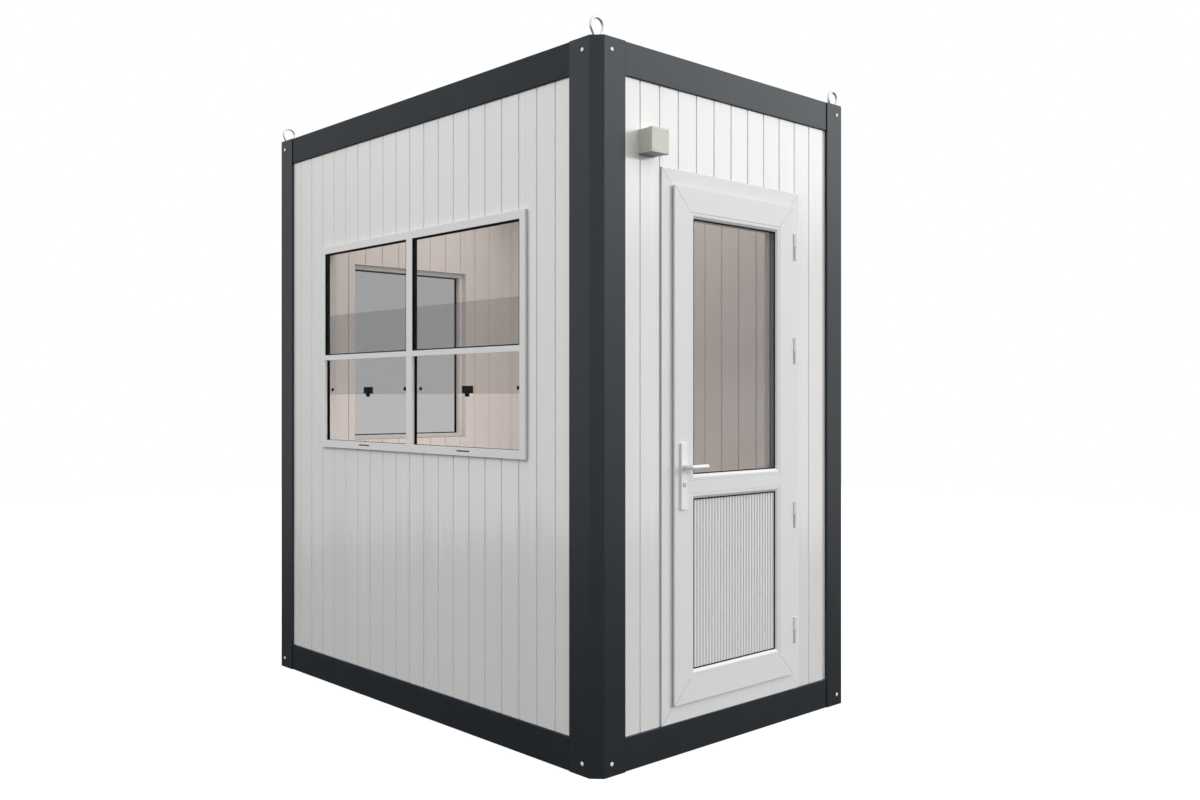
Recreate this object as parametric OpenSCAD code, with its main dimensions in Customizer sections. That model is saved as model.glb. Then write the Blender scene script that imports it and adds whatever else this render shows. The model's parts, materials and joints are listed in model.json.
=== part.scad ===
// Prefabricated guard booth: a steel corner-post frame with ribbed sandwich walls,
// a glazed outward-opening door, a raised guillotine window and a fixed rear window.
// Millimetres. Origin at the centre of the base, +Z up, the door wall faces -Y.

/* [Cabin] */
// Outside width across the posts, along the door wall
cabin_w = 1500; // [1400:10:3000]
// Outside length across the posts, along the window wall
cabin_l = 2265; // [2200:5:4000]
// Height from the ground to the top of the frame
cabin_h = 2570; // [2500:10:3000]

/* [Steel frame] */
// Length of each leg of the L-shaped corner posts
post_leg = 140; // [130:1:160]
// Leg of the bevel on the outer corner of a post
post_bevel = 37; // [20:1:45]
// Thickness of the bent steel sheet
sheet_t = 4; // [2:0.5:5]
// Height of the floor and roof beams
beam_h = 120; // [100:1:140]
// How far the beams lie behind the face of the posts
beam_back = 3.5; // [2:0.5:10]
// Diameter of the fastening holes in the posts
hole_d = 14; // [8:1:18]
// Distance of a fastening hole from the corner of its post
hole_in = 72; // [60:1:80]
// Distance of a fastening hole from the end of its post
hole_end = 44; // [35:1:60]

/* [Walls] */
// Thickness of the sandwich wall panels
panel_t = 60; // [50:1:70]
// How far the outer skin of the panels lies behind the beams
panel_back = 8.5; // [2:0.5:12]
// Distance between two grooves of the panel skin
rib_pitch = 101.7; // [80:0.1:130]
// Distance of the first groove from the end of a panel
rib_first = 87; // [40:1:95]
// Width of a groove
rib_w = 6; // [4:0.5:12]
// Depth of a groove
rib_depth = 7; // [1:0.5:10]

/* [Floor and roof] */
// Thickness of the floor board
board_t = 18; // [12:1:30]
// Thickness of the floor covering
cover_t = 4; // [2:0.5:6]
// Width of the floor and roof joists
joist_w = 50; // [30:1:80]
// Number of floor joists
joist_count = 5; // [3:1:9]
// Thickness of the ceiling panel
ceiling_t = 40; // [30:1:50]
// Height of the roof joists
purlin_h = 30; // [20:1:34]
// Number of roof joists
purlin_count = 3; // [2:1:5]
// Height of the ribs of the roof sheet
roof_rib_h = 25; // [10:1:28]
// Distance between the ribs of the roof sheet
roof_pitch = 200; // [120:5:300]

/* [Door] */
// Width of the door frame
door_w = 834; // [780:1:900]
// Height of the wall panel above the door frame
over_door = 294; // [200:1:330]
// Visible width of the door frame beside the leaf
door_band = 56; // [45:1:65]
// Visible height of the door frame above the leaf
door_head = 61; // [45:1:70]
// Visible height of the sill below the leaf
door_sill = 66; // [50:1:80]
// Width of the stiles and rails of the leaf, with the glazing bead
stile_w = 112; // [95:1:125]
// Height of the middle rail
mid_rail = 92; // [70:1:120]
// Height of the fluted panel below the middle rail
flute_panel_h = 635; // [500:5:700]
// Height of the lower rail
low_rail = 118; // [100:1:140]
// Distance between two flutes of the lower door panel
flute_pitch = 17.2; // [12:0.1:30]

/* [Door handle and hinges] */
// Width of the handle plates
plate_w = 32; // [28:1:40]
// Height of the handle plates
plate_h = 244; // [200:1:260]
// Part of a handle plate that lies below the lever
plate_below = 157; // [130:1:170]
// Distance from the lever down to the lock
key_drop = 63; // [50:1:90]
// Height of the lever above the ground
lever_z = 1061; // [950:1:1100]
// Length of the lever from its axis to its tip
lever_len = 92; // [80:1:130]
// Diameter of the lever
lever_d = 17; // [14:0.5:20]
// Distance of the lever's axis from the handle plate
lever_out = 38; // [32:1:50]
// Diameter of the hinge barrels
barrel_d = 13; // [11:0.5:16]
// Height of a hinge
hinge_h = 108; // [80:1:130]
// Diameter of the hinge pins
pin_d = 6; // [5:0.5:8]
// Distance of the lowest hinge from the lower edge of the leaf
hinge_low_in = 125; // [80:1:200]
// Distance between the two lower hinges
hinge_low_pair = 472; // [300:1:520]
// Distance of the highest hinge from the upper edge of the leaf
hinge_top_in = 110; // [80:1:200]
// Distance between the two upper hinges
hinge_top_pair = 424; // [300:1:480]

/* [Windows] */
// Width of the window in the left wall
window_w = 1464; // [1300:1:1600]
// Offset of that window's middle towards the door wall
window_shift = 22; // [0:0.5:40]
// Height of both window frames
window_h = 925; // [800:1:1000]
// Height of the lower edge of both window frames
window_z = 1087; // [1000:1:1150]
// Visible width of the window frame members
member_w = 33; // [28:1:45]
// Width of the mullion
mullion_w = 44; // [36:1:60]
// Offset of the mullion from the middle of its window, away from the door wall
mullion_shift = 17; // [0:1:60]
// Height of the transom
transom_h = 23; // [20:1:40]
// Height of the openings below the transom
hatch_h = 368; // [300:1:420]
// How far the sliding panes are raised
sash_lift = 211; // [0:1:300]
// Width of the window in the back wall
back_window_w = 736; // [600:1:900]
// How far the frames lap over the wall
frame_lap = 12; // [8:1:16]
// How far the frames stand proud of the wall
frame_proud = 13; // [8:1:16]
// Thickness of the glass panes
glass_t = 6; // [4:0.5:8]

/* [Junction box] */
// Width and height of the box
box_w = 91; // [70:1:110]
// Depth of the box
box_depth = 67; // [50:1:80]
// Distance of its upper edge from the top of the wall panel
box_drop = 175; // [120:1:190]
// Distance of its near edge from the end of the wall panel
box_in = 77; // [60:1:90]

/* [Lifting eyes] */
// Diameter of the bent bar
eye_bar = 12; // [8:0.5:14]
// Outside width of the round part of an eye
eye_w = 72; // [50:1:76]
// Height of an eye
eye_h = 76; // [60:1:90]
// Distance of an eye from the outer faces of its post
eye_in = 41; // [36:1:50]

/* [Hidden] */
$fn = 48;

anthracite = "#3b3f43";
wall_white = "#eeeeec";
pvc_white = "#f6f6f4";
glass_grey = [0.45, 0.47, 0.48, 0.45];
rubber_black = "#17181a";
steel = "#c9cbcd";
wood = "#b08d5f";
vinyl = "#8d8f8c";
box_grey = "#d0d2c6";

// Small overlap that makes cuts run clear of the faces they open
cut = 1;
// Depth of the inner face of the walls below the faces of the posts
skin_d = beam_back + panel_back;
inner_d = skin_d + panel_t;
wall_z0 = beam_h;
wall_z1 = cabin_h - beam_h;
half_w = cabin_w / 2;
half_l = cabin_l / 2;
// Half lengths of the wall panels between the posts
half_front = half_w - post_leg;
half_side = half_l - post_leg;

// Turns wall coordinates (along the wall, inwards, up) seen from outside into the cabin's frame
module on_front() translate([0, -half_l, 0]) children();
module on_back() translate([0, half_l, 0]) rotate([0, 0, 180]) children();
module on_left() translate([-half_w, 0, 0]) rotate([0, 0, -90]) children();
module on_right() translate([half_w, 0, 0]) rotate([0, 0, 90]) children();

// A box between two corners
module block(low, high) translate(low) cube(high - low);

// A rectangular ring that stands in a wall, between depths d0 and d1
module ring(u0, u1, z0, z1, width, d0, d1) {
    difference() {
        block([u0, d0, z0], [u1, d1, z1]);
        block([u0 + width, d0 - cut, z0 + width], [u1 - width, d1 + cut, z1 - width]);
    }
}

// Steel frame

function l_outline(leg, depth, bevel, t) = [
    [bevel, t], [leg - t, t], [leg - t, depth - t], [depth - t, depth - t],
    [depth - t, leg - t], [t, leg - t], [t, bevel]
];

// Hollow L-section post with its outer corner at the origin, legs along +X and +Y
module post() {
    inner_bevel = post_bevel + (sqrt(2) - 1) * sheet_t;
    difference() {
        linear_extrude(cabin_h) polygon(l_outline(post_leg, inner_d, post_bevel, 0));
        translate([0, 0, sheet_t]) linear_extrude(cabin_h - 2 * sheet_t)
            polygon(l_outline(post_leg, inner_d, inner_bevel, sheet_t));
        for (z = [hole_end, cabin_h - hole_end]) {
            translate([hole_in, -cut, z]) rotate([-90, 0, 0]) cylinder(d = hole_d, h = sheet_t + 2 * cut);
            translate([-cut, hole_in, z]) rotate([0, 90, 0]) cylinder(d = hole_d, h = sheet_t + 2 * cut);
        }
    }
}

module post_at(right, back) {
    color(anthracite)
        mirror([right, 0, 0]) mirror([0, back, 0]) translate([-half_w, -half_l, 0]) post();
}
module post_front_left() post_at(0, 0);
module post_front_right() post_at(1, 0);
module post_back_left() post_at(0, 1);
module post_back_right() post_at(1, 1);

// Channel beam between two posts, its flanges pointing into the cabin
module beam(half, z) {
    color(anthracite) difference() {
        block([-half, beam_back, z], [half, inner_d, z + beam_h]);
        block([-half - cut, beam_back + sheet_t, z + sheet_t],
              [half + cut, inner_d + cut, z + beam_h - sheet_t]);
    }
}
module base_beam_front() on_front() beam(half_front, 0);
module base_beam_back() on_back() beam(half_front, 0);
module base_beam_left() on_left() beam(half_side, 0);
module base_beam_right() on_right() beam(half_side, 0);
module roof_beam_front() on_front() beam(half_front, wall_z1);
module roof_beam_back() on_back() beam(half_front, wall_z1);
module roof_beam_left() on_left() beam(half_side, wall_z1);
module roof_beam_right() on_right() beam(half_side, wall_z1);

// Pear-shaped loop of round bar in the plane of the door wall, standing on z = 0
module lifting_eye() {
    loop_r = (eye_w - eye_bar) / 2;
    loop_z = eye_h - eye_bar / 2 - loop_r;
    // The legs leave the round part along its tangent, a little slimmer, and lean in to the foot
    lean = 30;
    leg_bar = eye_bar - 0.6;
    seat = 3;
    union() {
        translate([0, 0, loop_z]) rotate([90, 0, 0]) rotate([0, 0, -lean])
            rotate_extrude(angle = 180 + 2 * lean) translate([loop_r, 0]) circle(d = eye_bar);
        for (side = [-1, 1]) intersection() {
            translate([side * loop_r * cos(lean), 0, loop_z - loop_r * sin(lean)])
                rotate([0, side * (180 + lean), 0])
                    translate([0, 0, -seat]) cylinder(d = leg_bar, h = 2 * loop_z);
            block([-eye_w, -eye_bar, 0], [eye_w, eye_bar, eye_h]);
        }
    }
}

module lifting_eyes() {
    color(steel) for (sx = [-1, 1], sy = [-1, 1])
        translate([sx * (half_w - eye_in), sy * (half_l - eye_in), cabin_h]) lifting_eye();
}

// Floor and roof

joist_step = (cabin_l - 2 * inner_d) / (joist_count + 1);
web_d = beam_back + sheet_t;
joist_t = 3;

// Rectangular tube along X from web to web of two beams; half is half the distance of their posts' faces
module joist(half, z0, z1) {
    difference() {
        block([-half + web_d, -joist_w / 2, z0], [half - web_d, joist_w / 2, z1]);
        block([-half, joist_t - joist_w / 2, z0 + joist_t], [half, joist_w / 2 - joist_t, z1 - joist_t]);
    }
}
board_z = beam_h - sheet_t - board_t;
// The floor joists are coped over the lower flanges, so their undersides lie level with the beams'
module floor_joists() {
    color(steel) difference() {
        for (k = [1:joist_count]) translate([0, -half_l + inner_d + k * joist_step, 0])
            joist(half_w, 0, board_z);
        for (side = [0, 1]) mirror([side, 0, 0])
            block([-half_w, -half_l, -cut], [-half_w + inner_d, half_l, sheet_t]);
    }
}

// Space that the four posts take up between two heights
module post_notches(z0, z1) {
    for (sx = [0, 1], sy = [0, 1]) mirror([sx, 0, 0]) mirror([0, sy, 0]) {
        corner = [-half_w - cut, -half_l - cut, z0];
        block(corner, [-half_w + post_leg, -half_l + inner_d, z1]);
        block(corner, [-half_w + inner_d, -half_l + post_leg, z1]);
    }
}
// Boards lie between the beam webs, notched round the posts
module deck(z0, z1) {
    difference() {
        block([-half_w + web_d, -half_l + web_d, z0], [half_w - web_d, half_l - web_d, z1]);
        post_notches(z0 - cut, z1 + cut);
    }
}
module floor_board() color(wood) deck(board_z, beam_h - sheet_t);
module floor_covering() {
    color(vinyl)
        block([-half_w + inner_d, -half_l + inner_d, beam_h - sheet_t],
              [half_w - inner_d, half_l - inner_d, beam_h - sheet_t + cover_t]);
}
ceiling_z = wall_z1 + sheet_t;
module ceiling_panel() color(wall_white) deck(ceiling_z, ceiling_z + ceiling_t);
purlin_z = ceiling_z + ceiling_t;
purlin_step = (cabin_w - 2 * inner_d) / (purlin_count + 1);
// The roof joists run along the cabin, across the ribs of the roof sheet
module roof_joists() {
    color(steel) for (k = [1:purlin_count]) translate([-half_w + inner_d + k * purlin_step, 0, 0])
        rotate([0, 0, 90]) joist(half_l, purlin_z, purlin_z + purlin_h);
}

// Trapezoidal sheet whose ribs run along the cabin's width
roof_sheet_t = 2;
roof_rib_top = 30;
roof_rib_foot = 60;
roof_half = half_l - web_d;
roof_ribs = floor((2 * roof_half - roof_rib_foot) / roof_pitch);
roof_rise = roof_rib_h - roof_sheet_t;
roof_folds = [[-roof_rib_foot / 2, 0], [-roof_rib_top / 2, roof_rise],
              [roof_rib_top / 2, roof_rise], [roof_rib_foot / 2, 0]];
// Folded line of one face of the sheet, raised by z
function roof_line(z) = [
    [-roof_half, z],
    for (k = [0:roof_ribs - 1], fold = roof_folds)
        [(k - (roof_ribs - 1) / 2) * roof_pitch + fold[0], z + fold[1]],
    [roof_half, z]
];
module roof_sheet() {
    color(steel) translate([0, 0, purlin_z + purlin_h]) difference() {
        translate([-half_w + web_d, 0, 0]) rotate([90, 0, 90]) linear_extrude(2 * (half_w - web_d))
            polygon(concat(roof_line(0), reversed(roof_line(roof_sheet_t))));
        post_notches(-cut, roof_rib_h + cut);
    }
}

// Walls

// Points of a skin at depth d between u0 and u1, with a V-groove of signed depth g at each rib
function skin(u0, u1, d, g, rib0) = [
    for (k = [ceil((u0 + rib_w - rib0) / rib_pitch):floor((u1 - rib_w - rib0) / rib_pitch)])
        each [[rib0 + k * rib_pitch - rib_w / 2, d], [rib0 + k * rib_pitch, d + g],
              [rib0 + k * rib_pitch + rib_w / 2, d]]
];
function reversed(list) = [for (k = [len(list) - 1:-1:0]) list[k]];

// Sandwich panel with grooves in both skins; rib0 is the place of one groove
module wall_panel(u0, u1, z0, z1, rib0) {
    color(wall_white) translate([0, 0, z0]) linear_extrude(z1 - z0) polygon(concat(
        [[u0, skin_d]], skin(u0, u1, skin_d, rib_depth, rib0), [[u1, skin_d], [u1, inner_d]],
        reversed(skin(u0, u1, inner_d, -rib_depth, rib0)), [[u0, inner_d]]));
}

door_z0 = wall_z0;
door_z1 = wall_z1 - over_door;
door_cut = door_w / 2 - frame_lap;
front_rib = -half_front + rib_first;
module front_wall_left() on_front() wall_panel(-half_front, -door_cut, wall_z0, wall_z1, front_rib);
module front_wall_right() on_front() wall_panel(door_cut, half_front, wall_z0, wall_z1, front_rib);
module front_wall_over_door() on_front()
    wall_panel(-door_cut, door_cut, door_z1 - frame_lap, wall_z1, front_rib);

window_z1 = window_z + window_h;
window_u0 = window_shift - window_w / 2;
window_u1 = window_shift + window_w / 2;
hole_u0 = window_u0 + frame_lap;
hole_u1 = window_u1 - frame_lap;
hole_z0 = window_z + frame_lap;
hole_z1 = window_z1 - frame_lap;
left_rib = half_side - rib_first;
module left_wall_front() on_left() wall_panel(hole_u1, half_side, wall_z0, wall_z1, left_rib);
module left_wall_rear() on_left() wall_panel(-half_side, hole_u0, wall_z0, wall_z1, left_rib);
module left_wall_below_window() on_left() wall_panel(hole_u0, hole_u1, wall_z0, hole_z0, left_rib);
module left_wall_above_window() on_left() wall_panel(hole_u0, hole_u1, hole_z1, wall_z1, left_rib);

back_hole = back_window_w / 2 - frame_lap;
module back_wall_left() on_back() wall_panel(back_hole, half_front, wall_z0, wall_z1, front_rib);
module back_wall_right() on_back() wall_panel(-half_front, -back_hole, wall_z0, wall_z1, front_rib);
module back_wall_below_window() on_back()
    wall_panel(-back_hole, back_hole, wall_z0, hole_z0, front_rib);
module back_wall_above_window() on_back()
    wall_panel(-back_hole, back_hole, hole_z1, wall_z1, front_rib);
module right_wall() on_right() wall_panel(-half_side, half_side, wall_z0, wall_z1, -half_side + rib_first);

// Windows

face_d = skin_d - frame_proud;
frame_depth = 30;
glass_in = 5;
glass_d = face_d + glass_in;
track_gap = 3;
sash_d = glass_d + glass_t + track_gap;
// The tracks are black channels let into the frame members, from the fixed panes to behind the sliding ones
track_in = 8;
track_lining = 1.5;
track_lip = 6;
track_d0 = glass_d + glass_t;
track_d1 = sash_d + glass_t + track_lip;
pane_in = 6;
gasket_w = 5;
gasket_back = 1;
drain_w = 84;
drain_h = 5;
drain_depth = 25;
drain_up = 16;

// Frame with its lap on the wall and its body in the cut-out
module window_body(u0, u1) {
    ring(u0, u1, window_z, window_z1, member_w, face_d, skin_d);
    ring(u0 + frame_lap, u1 - frame_lap, hole_z0, hole_z1, member_w - frame_lap,
         skin_d, skin_d + frame_depth);
}
pane_z0 = window_z + member_w;
pane_z1 = window_z1 - member_w;
transom_z0 = pane_z0 + hatch_h;
transom_z1 = transom_z0 + transom_h;
mullion_u = window_shift - mullion_shift;
bay_u = [[window_u0 + member_w, mullion_u - mullion_w / 2],
         [mullion_u + mullion_w / 2, window_u1 - member_w]];
sash_play = 5;
sash_h = hatch_h - sash_play;
sash_z0 = pane_z0 + sash_lift;

// Room of the channel at one end of a bay, reaching out by over into the bay
module track_room(bay, end, over) {
    out = end == 0 ? -1 : 1;
    ends = [bay[end] - out * over, bay[end] + out * track_in];
    block([min(ends), track_d0, pane_z0], [max(ends), track_d1, pane_z1]);
}
module left_window_frame() {
    color(pvc_white) on_left() difference() {
        union() {
            window_body(window_u0, window_u1);
            block([bay_u[0][1], face_d, pane_z0 - cut], [bay_u[1][0], track_d1, pane_z1 + cut]);
            for (bay = bay_u)
                block([bay[0] - cut, face_d, transom_z0], [bay[1] + cut, sash_d - track_gap / 2, transom_z1]);
        }
        for (bay = bay_u) {
            for (end = [0, 1]) track_room(bay, end, cut);
            // Glazing groove of the fixed panes
            block([bay[0] - pane_in, glass_d, transom_z1 - pane_in],
                  [bay[1] + pane_in, glass_d + glass_t, pane_z1 + pane_in]);
            // Drain slot
            translate([(bay[0] + bay[1]) / 2, face_d, window_z + drain_up])
                block([-drain_w / 2, -cut, 0], [drain_w / 2, drain_depth, drain_h]);
        }
    }
}
module left_window_fixed_glass() {
    color(glass_grey) on_left() for (bay = bay_u)
        block([bay[0] - pane_in, glass_d, transom_z1 - pane_in],
              [bay[1] + pane_in, glass_d + glass_t, pane_z1 + pane_in]);
}
module left_window_gaskets() {
    color(rubber_black) on_left() for (bay = bay_u)
        ring(bay[0], bay[1], transom_z1, pane_z1, gasket_w, face_d + gasket_back, glass_d);
}
module left_window_tracks() {
    slot = track_in - track_lining;
    color(rubber_black) on_left() for (bay = bay_u) difference() {
        for (end = [0, 1]) track_room(bay, end, 0);
        block([bay[0] - slot, sash_d, pane_z0 - cut], [bay[1] + slot, sash_d + glass_t, pane_z1 + cut]);
    }
}
module left_window_sashes() {
    color(glass_grey) on_left() for (bay = bay_u)
        block([bay[0] - track_in + track_lining, sash_d, sash_z0],
              [bay[1] + track_in - track_lining, sash_d + glass_t, sash_z0 + sash_h]);
}
catch_w = 64;
catch_h = 30;
catch_t = 9;
catch_up = 2;
tab_w = 26;
tab_h = 13;
tab_t = 5;
button_d = 11;
button_t = 7;
button_in = 31;
button_up = 22;
module left_window_catches() {
    color(rubber_black) on_left() for (bay = bay_u) {
        // Catch on the inner face of the pane, with its finger tab
        translate([(bay[0] + bay[1]) / 2, sash_d + glass_t, sash_z0 + catch_up]) {
            block([-catch_w / 2, 0, 0], [catch_w / 2, catch_t, catch_h]);
            block([-tab_w / 2, 0, -tab_h], [tab_w / 2, tab_t, 0]);
        }
        for (u = [bay[0] + button_in, bay[1] - button_in])
            translate([u, sash_d + glass_t, sash_z0 + button_up]) rotate([-90, 0, 0])
                cylinder(d = button_d, h = button_t);
    }
}

back_u = back_window_w / 2;
module back_window_frame() {
    color(pvc_white) on_back() difference() {
        window_body(-back_u, back_u);
        block([-back_u + member_w - pane_in, glass_d, pane_z0 - pane_in],
              [back_u - member_w + pane_in, glass_d + glass_t, pane_z1 + pane_in]);
    }
}
module back_window_glass() {
    color(glass_grey) on_back()
        block([-back_u + member_w - pane_in, glass_d, pane_z0 - pane_in],
              [back_u - member_w + pane_in, glass_d + glass_t, pane_z1 + pane_in]);
}
module back_window_gasket() {
    glass_back = glass_d + glass_t;
    color(rubber_black) on_back()
        for (d = [[face_d + gasket_back, glass_d], [glass_back, glass_back + glass_in - gasket_back]])
            ring(-back_u + member_w, back_u - member_w, pane_z0, pane_z1, gasket_w, d[0], d[1]);
}

// Door

door_step = 6.5;
door_face_d = skin_d - frame_proud + door_step;
leaf_gap = 5;
leaf_lap = 9;
flange_t = 8;
leaf_body_gap = 12;
leaf_face_d = door_face_d - leaf_gap - flange_t;
leaf_u = door_w / 2 - door_band;
leaf_z0 = door_z0 + door_sill;
leaf_z1 = door_z1 - door_head;
way_u = leaf_u - leaf_lap;
way_z0 = leaf_z0 + leaf_lap;
way_z1 = leaf_z1 - leaf_lap;
leaf_inset = 16;
leaf_back_d = inner_d - leaf_inset;

module door_frame() {
    color(pvc_white) on_front() difference() {
        union() {
            block([-door_w / 2, door_face_d, door_z0], [door_w / 2, skin_d, door_z1]);
            block([-door_cut, skin_d, door_z0], [door_cut, inner_d, door_z1 - frame_lap]);
        }
        block([-way_u, door_face_d - cut, way_z0], [way_u, inner_d + cut, way_z1]);
    }
}

// Openings of the leaf for the glass and the lower panel
bead_w = 22;
bead_drop = 1;
bead_slope = 10;
light_u = leaf_u - stile_w;
low_z0 = leaf_z0 + low_rail;
low_z1 = low_z0 + flute_panel_h;
light_z0 = low_z1 + mid_rail;
light_z1 = leaf_z1 - stile_w;
lights = [[low_z0, low_z1], [light_z0, light_z1]];
body_inset = leaf_lap + leaf_body_gap;
fill_in = 12;
fill_d = leaf_face_d + fill_in;
fill_t = 24;
handle_u = -(leaf_u + light_u + bead_w) / 2;
spindle_d = 10;
spindle_hole = 24;

module door_leaf() {
    color(pvc_white) on_front() difference() {
        union() {
            block([-leaf_u, leaf_face_d, leaf_z0], [leaf_u, leaf_face_d + flange_t, leaf_z1]);
            block([-leaf_u + body_inset, leaf_face_d + flange_t, leaf_z0 + body_inset],
                  [leaf_u - body_inset, leaf_back_d, leaf_z1 - body_inset]);
        }
        for (light = lights)
            block([-light_u - bead_w, leaf_face_d - cut, light[0] - bead_w],
                  [light_u + bead_w, leaf_back_d + cut, light[1] + bead_w]);
        translate([handle_u, leaf_face_d - cut, lever_z]) rotate([-90, 0, 0])
            cylinder(d = spindle_hole, h = leaf_back_d - leaf_face_d + 2 * cut);
    }
}
// Rectangular hole of an opening that widens by flare from depth d1 out to depth d0
module flared_hole(z0, z1, d0, d1, flare) {
    intersection() {
        translate([0, 0, z0 - flare]) linear_extrude(z1 - z0 + 2 * flare)
            polygon([[-light_u - flare, d0], [light_u + flare, d0], [light_u, d1], [-light_u, d1]]);
        translate([-light_u - flare, 0, 0]) rotate([90, 0, 90]) linear_extrude(2 * (light_u + flare))
            polygon([[d0, z0 - flare], [d0, z1 + flare], [d1, z1], [d1, z0]]);
    }
}
// Glazing beads in front of and behind the glass and the panel; the outer ones slope to the pane
gasket_t = 4;
module door_beads() {
    bead_d = leaf_face_d + bead_drop;
    color(pvc_white) on_front() for (light = lights) {
        difference() {
            block([-light_u - bead_w, bead_d, light[0] - bead_w],
                  [light_u + bead_w, fill_d, light[1] + bead_w]);
            block([-light_u, bead_d - cut, light[0]], [light_u, fill_d + cut, light[1]]);
            flared_hole(light[0], light[1], bead_d, fill_d - gasket_t, bead_slope);
        }
        ring(-light_u - bead_w, light_u + bead_w, light[0] - bead_w, light[1] + bead_w, bead_w,
             fill_d + fill_t, leaf_back_d - bead_drop);
    }
}
pane_play = 3;
pane_seat = bead_w - pane_play;
// Two panes with a spacer between them
leaf_pane_t = 4;
spacer_w = 18;
module door_glass() {
    color(glass_grey) on_front() for (d = [fill_d, fill_d + fill_t - leaf_pane_t])
        block([-light_u - pane_seat, d, light_z0 - pane_seat],
              [light_u + pane_seat, d + leaf_pane_t, light_z1 + pane_seat]);
}
module door_glass_spacer() {
    color(steel) on_front()
        ring(-light_u - pane_seat, light_u + pane_seat, light_z0 - pane_seat, light_z1 + pane_seat, spacer_w,
             fill_d + leaf_pane_t, fill_d + fill_t - leaf_pane_t);
}
module door_gaskets() {
    color(rubber_black) on_front() for (light = lights)
        ring(-light_u, light_u, light[0], light[1], gasket_t, fill_d - gasket_t, fill_d);
}
flute_w = 7;
flute_floor = 4;
flute_depth = 6;
module door_lower_panel() {
    count = floor(light_u / flute_pitch);
    color(pvc_white) on_front() difference() {
        block([-light_u - pane_seat, fill_d, low_z0 - pane_seat],
              [light_u + pane_seat, fill_d + fill_t, low_z1 + pane_seat]);
        for (k = [-count:count]) translate([k * flute_pitch, fill_d, low_z0 - pane_seat - cut])
            linear_extrude(flute_panel_h + 2 * pane_seat + 2 * cut)
                polygon([[-flute_w / 2, 0], [-flute_floor / 2, flute_depth], [flute_floor / 2, flute_depth],
                         [flute_w / 2, 0], [0, -cut]]);
    }
}

// Handle

plate_t = 8;
plate_z0 = lever_z - plate_below;
neck_d = 18;
neck_play = 0.3;
key_z = lever_z - key_drop;
key_d = 17;
key_out = 4;
module plate(d0, d1) {
    difference() {
        block([handle_u - plate_w / 2, d0, plate_z0], [handle_u + plate_w / 2, d1, plate_z0 + plate_h]);
        translate([handle_u, d0 - cut, lever_z]) rotate([-90, 0, 0])
            cylinder(d = neck_d + 2 * neck_play, h = d1 - d0 + 2 * cut);
    }
}
module door_handle_plates() {
    color(pvc_white) on_front() {
        plate(leaf_face_d - plate_t, leaf_face_d);
        plate(leaf_back_d, leaf_back_d + plate_t);
    }
}
module door_lock_cylinder() {
    color(steel) on_front() for (d = [leaf_face_d - plate_t - key_out, leaf_back_d + plate_t])
        translate([handle_u, d, key_z]) rotate([-90, 0, 0]) cylinder(d = key_d, h = key_out);
}
// Both levers and the spindle that joins them through the leaf
module door_lever() {
    front_d = leaf_face_d - plate_t - lever_out;
    back_d = leaf_back_d + plate_t + lever_out;
    color(pvc_white) on_front() translate([handle_u, 0, lever_z]) {
        translate([0, front_d, 0]) rotate([-90, 0, 0]) cylinder(d = neck_d, h = leaf_face_d - front_d);
        translate([0, leaf_back_d, 0]) rotate([-90, 0, 0]) cylinder(d = neck_d, h = back_d - leaf_back_d);
        translate([0, front_d, 0]) rotate([-90, 0, 0]) cylinder(d = spindle_d, h = back_d - front_d);
        for (d = [front_d, back_d]) translate([0, d, 0]) {
            sphere(d = neck_d);
            rotate([0, 90, 0]) cylinder(d = lever_d, h = lever_len - lever_d / 2);
            translate([lever_len - lever_d / 2, 0, 0]) sphere(d = lever_d);
        }
    }
}

// Hinges

// The axis stands beside and in front of the edge of the leaf
hinge_side = 10;
hinge_front = 2;
hinge_u = leaf_u + hinge_side;
hinge_d = leaf_face_d - hinge_front;
pin_play = 0.05;
pin_short = 4;
// Webs that carry the barrels on the face of the door frame and on the edge of the leaf
frame_web = 8;
leaf_web_front = 3;
leaf_web_back = 1;
hinge_top_z = leaf_z1 - hinge_top_in - hinge_h;
hinge_low_z = leaf_z0 + hinge_low_in;
hinge_zs = [hinge_low_z, hinge_low_z + hinge_low_pair, hinge_top_z - hinge_top_pair, hinge_top_z];
half_gap = 0.5;
knuckle_h = hinge_h / 2 - half_gap;

// Frame half: lower knuckle, pin and a web down to the door frame
module door_hinges_frame_side() {
    color(pvc_white) on_front() for (z = hinge_zs) translate([hinge_u, 0, z]) {
        translate([0, hinge_d, 0]) cylinder(d = barrel_d, h = knuckle_h);
        translate([0, hinge_d, 0]) cylinder(d = pin_d, h = hinge_h - pin_short);
        block([-frame_web / 2, hinge_d, 0], [frame_web / 2, door_face_d, knuckle_h]);
    }
}
// Leaf half: upper knuckle on the pin and a web to the edge of the leaf
module door_hinges_leaf_side() {
    web_back = leaf_face_d + flange_t - leaf_web_back;
    color(pvc_white) on_front() for (z = hinge_zs) translate([hinge_u, 0, z]) difference() {
        translate([0, 0, hinge_h - knuckle_h]) {
            translate([0, hinge_d, 0]) cylinder(d = barrel_d, h = knuckle_h);
            block([-hinge_side, hinge_d - leaf_web_front, 0], [0, web_back, knuckle_h]);
        }
        translate([0, hinge_d, 0]) cylinder(d = pin_d + 2 * pin_play, h = hinge_h - pin_short + cut);
    }
}

// Junction box on the door wall

lid_t = 16;
lid_lip = 2;
box_u0 = -half_front + box_in;
box_z = wall_z1 - box_drop - box_w;
module junction_box() {
    color(box_grey) on_front()
        block([box_u0 + lid_lip, skin_d - box_depth + lid_t, box_z + lid_lip],
              [box_u0 + box_w - lid_lip, skin_d, box_z + box_w - lid_lip]);
}
module junction_box_lid() {
    color(box_grey) on_front()
        block([box_u0, skin_d - box_depth, box_z],
              [box_u0 + box_w, skin_d - box_depth + lid_t, box_z + box_w]);
}

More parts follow.
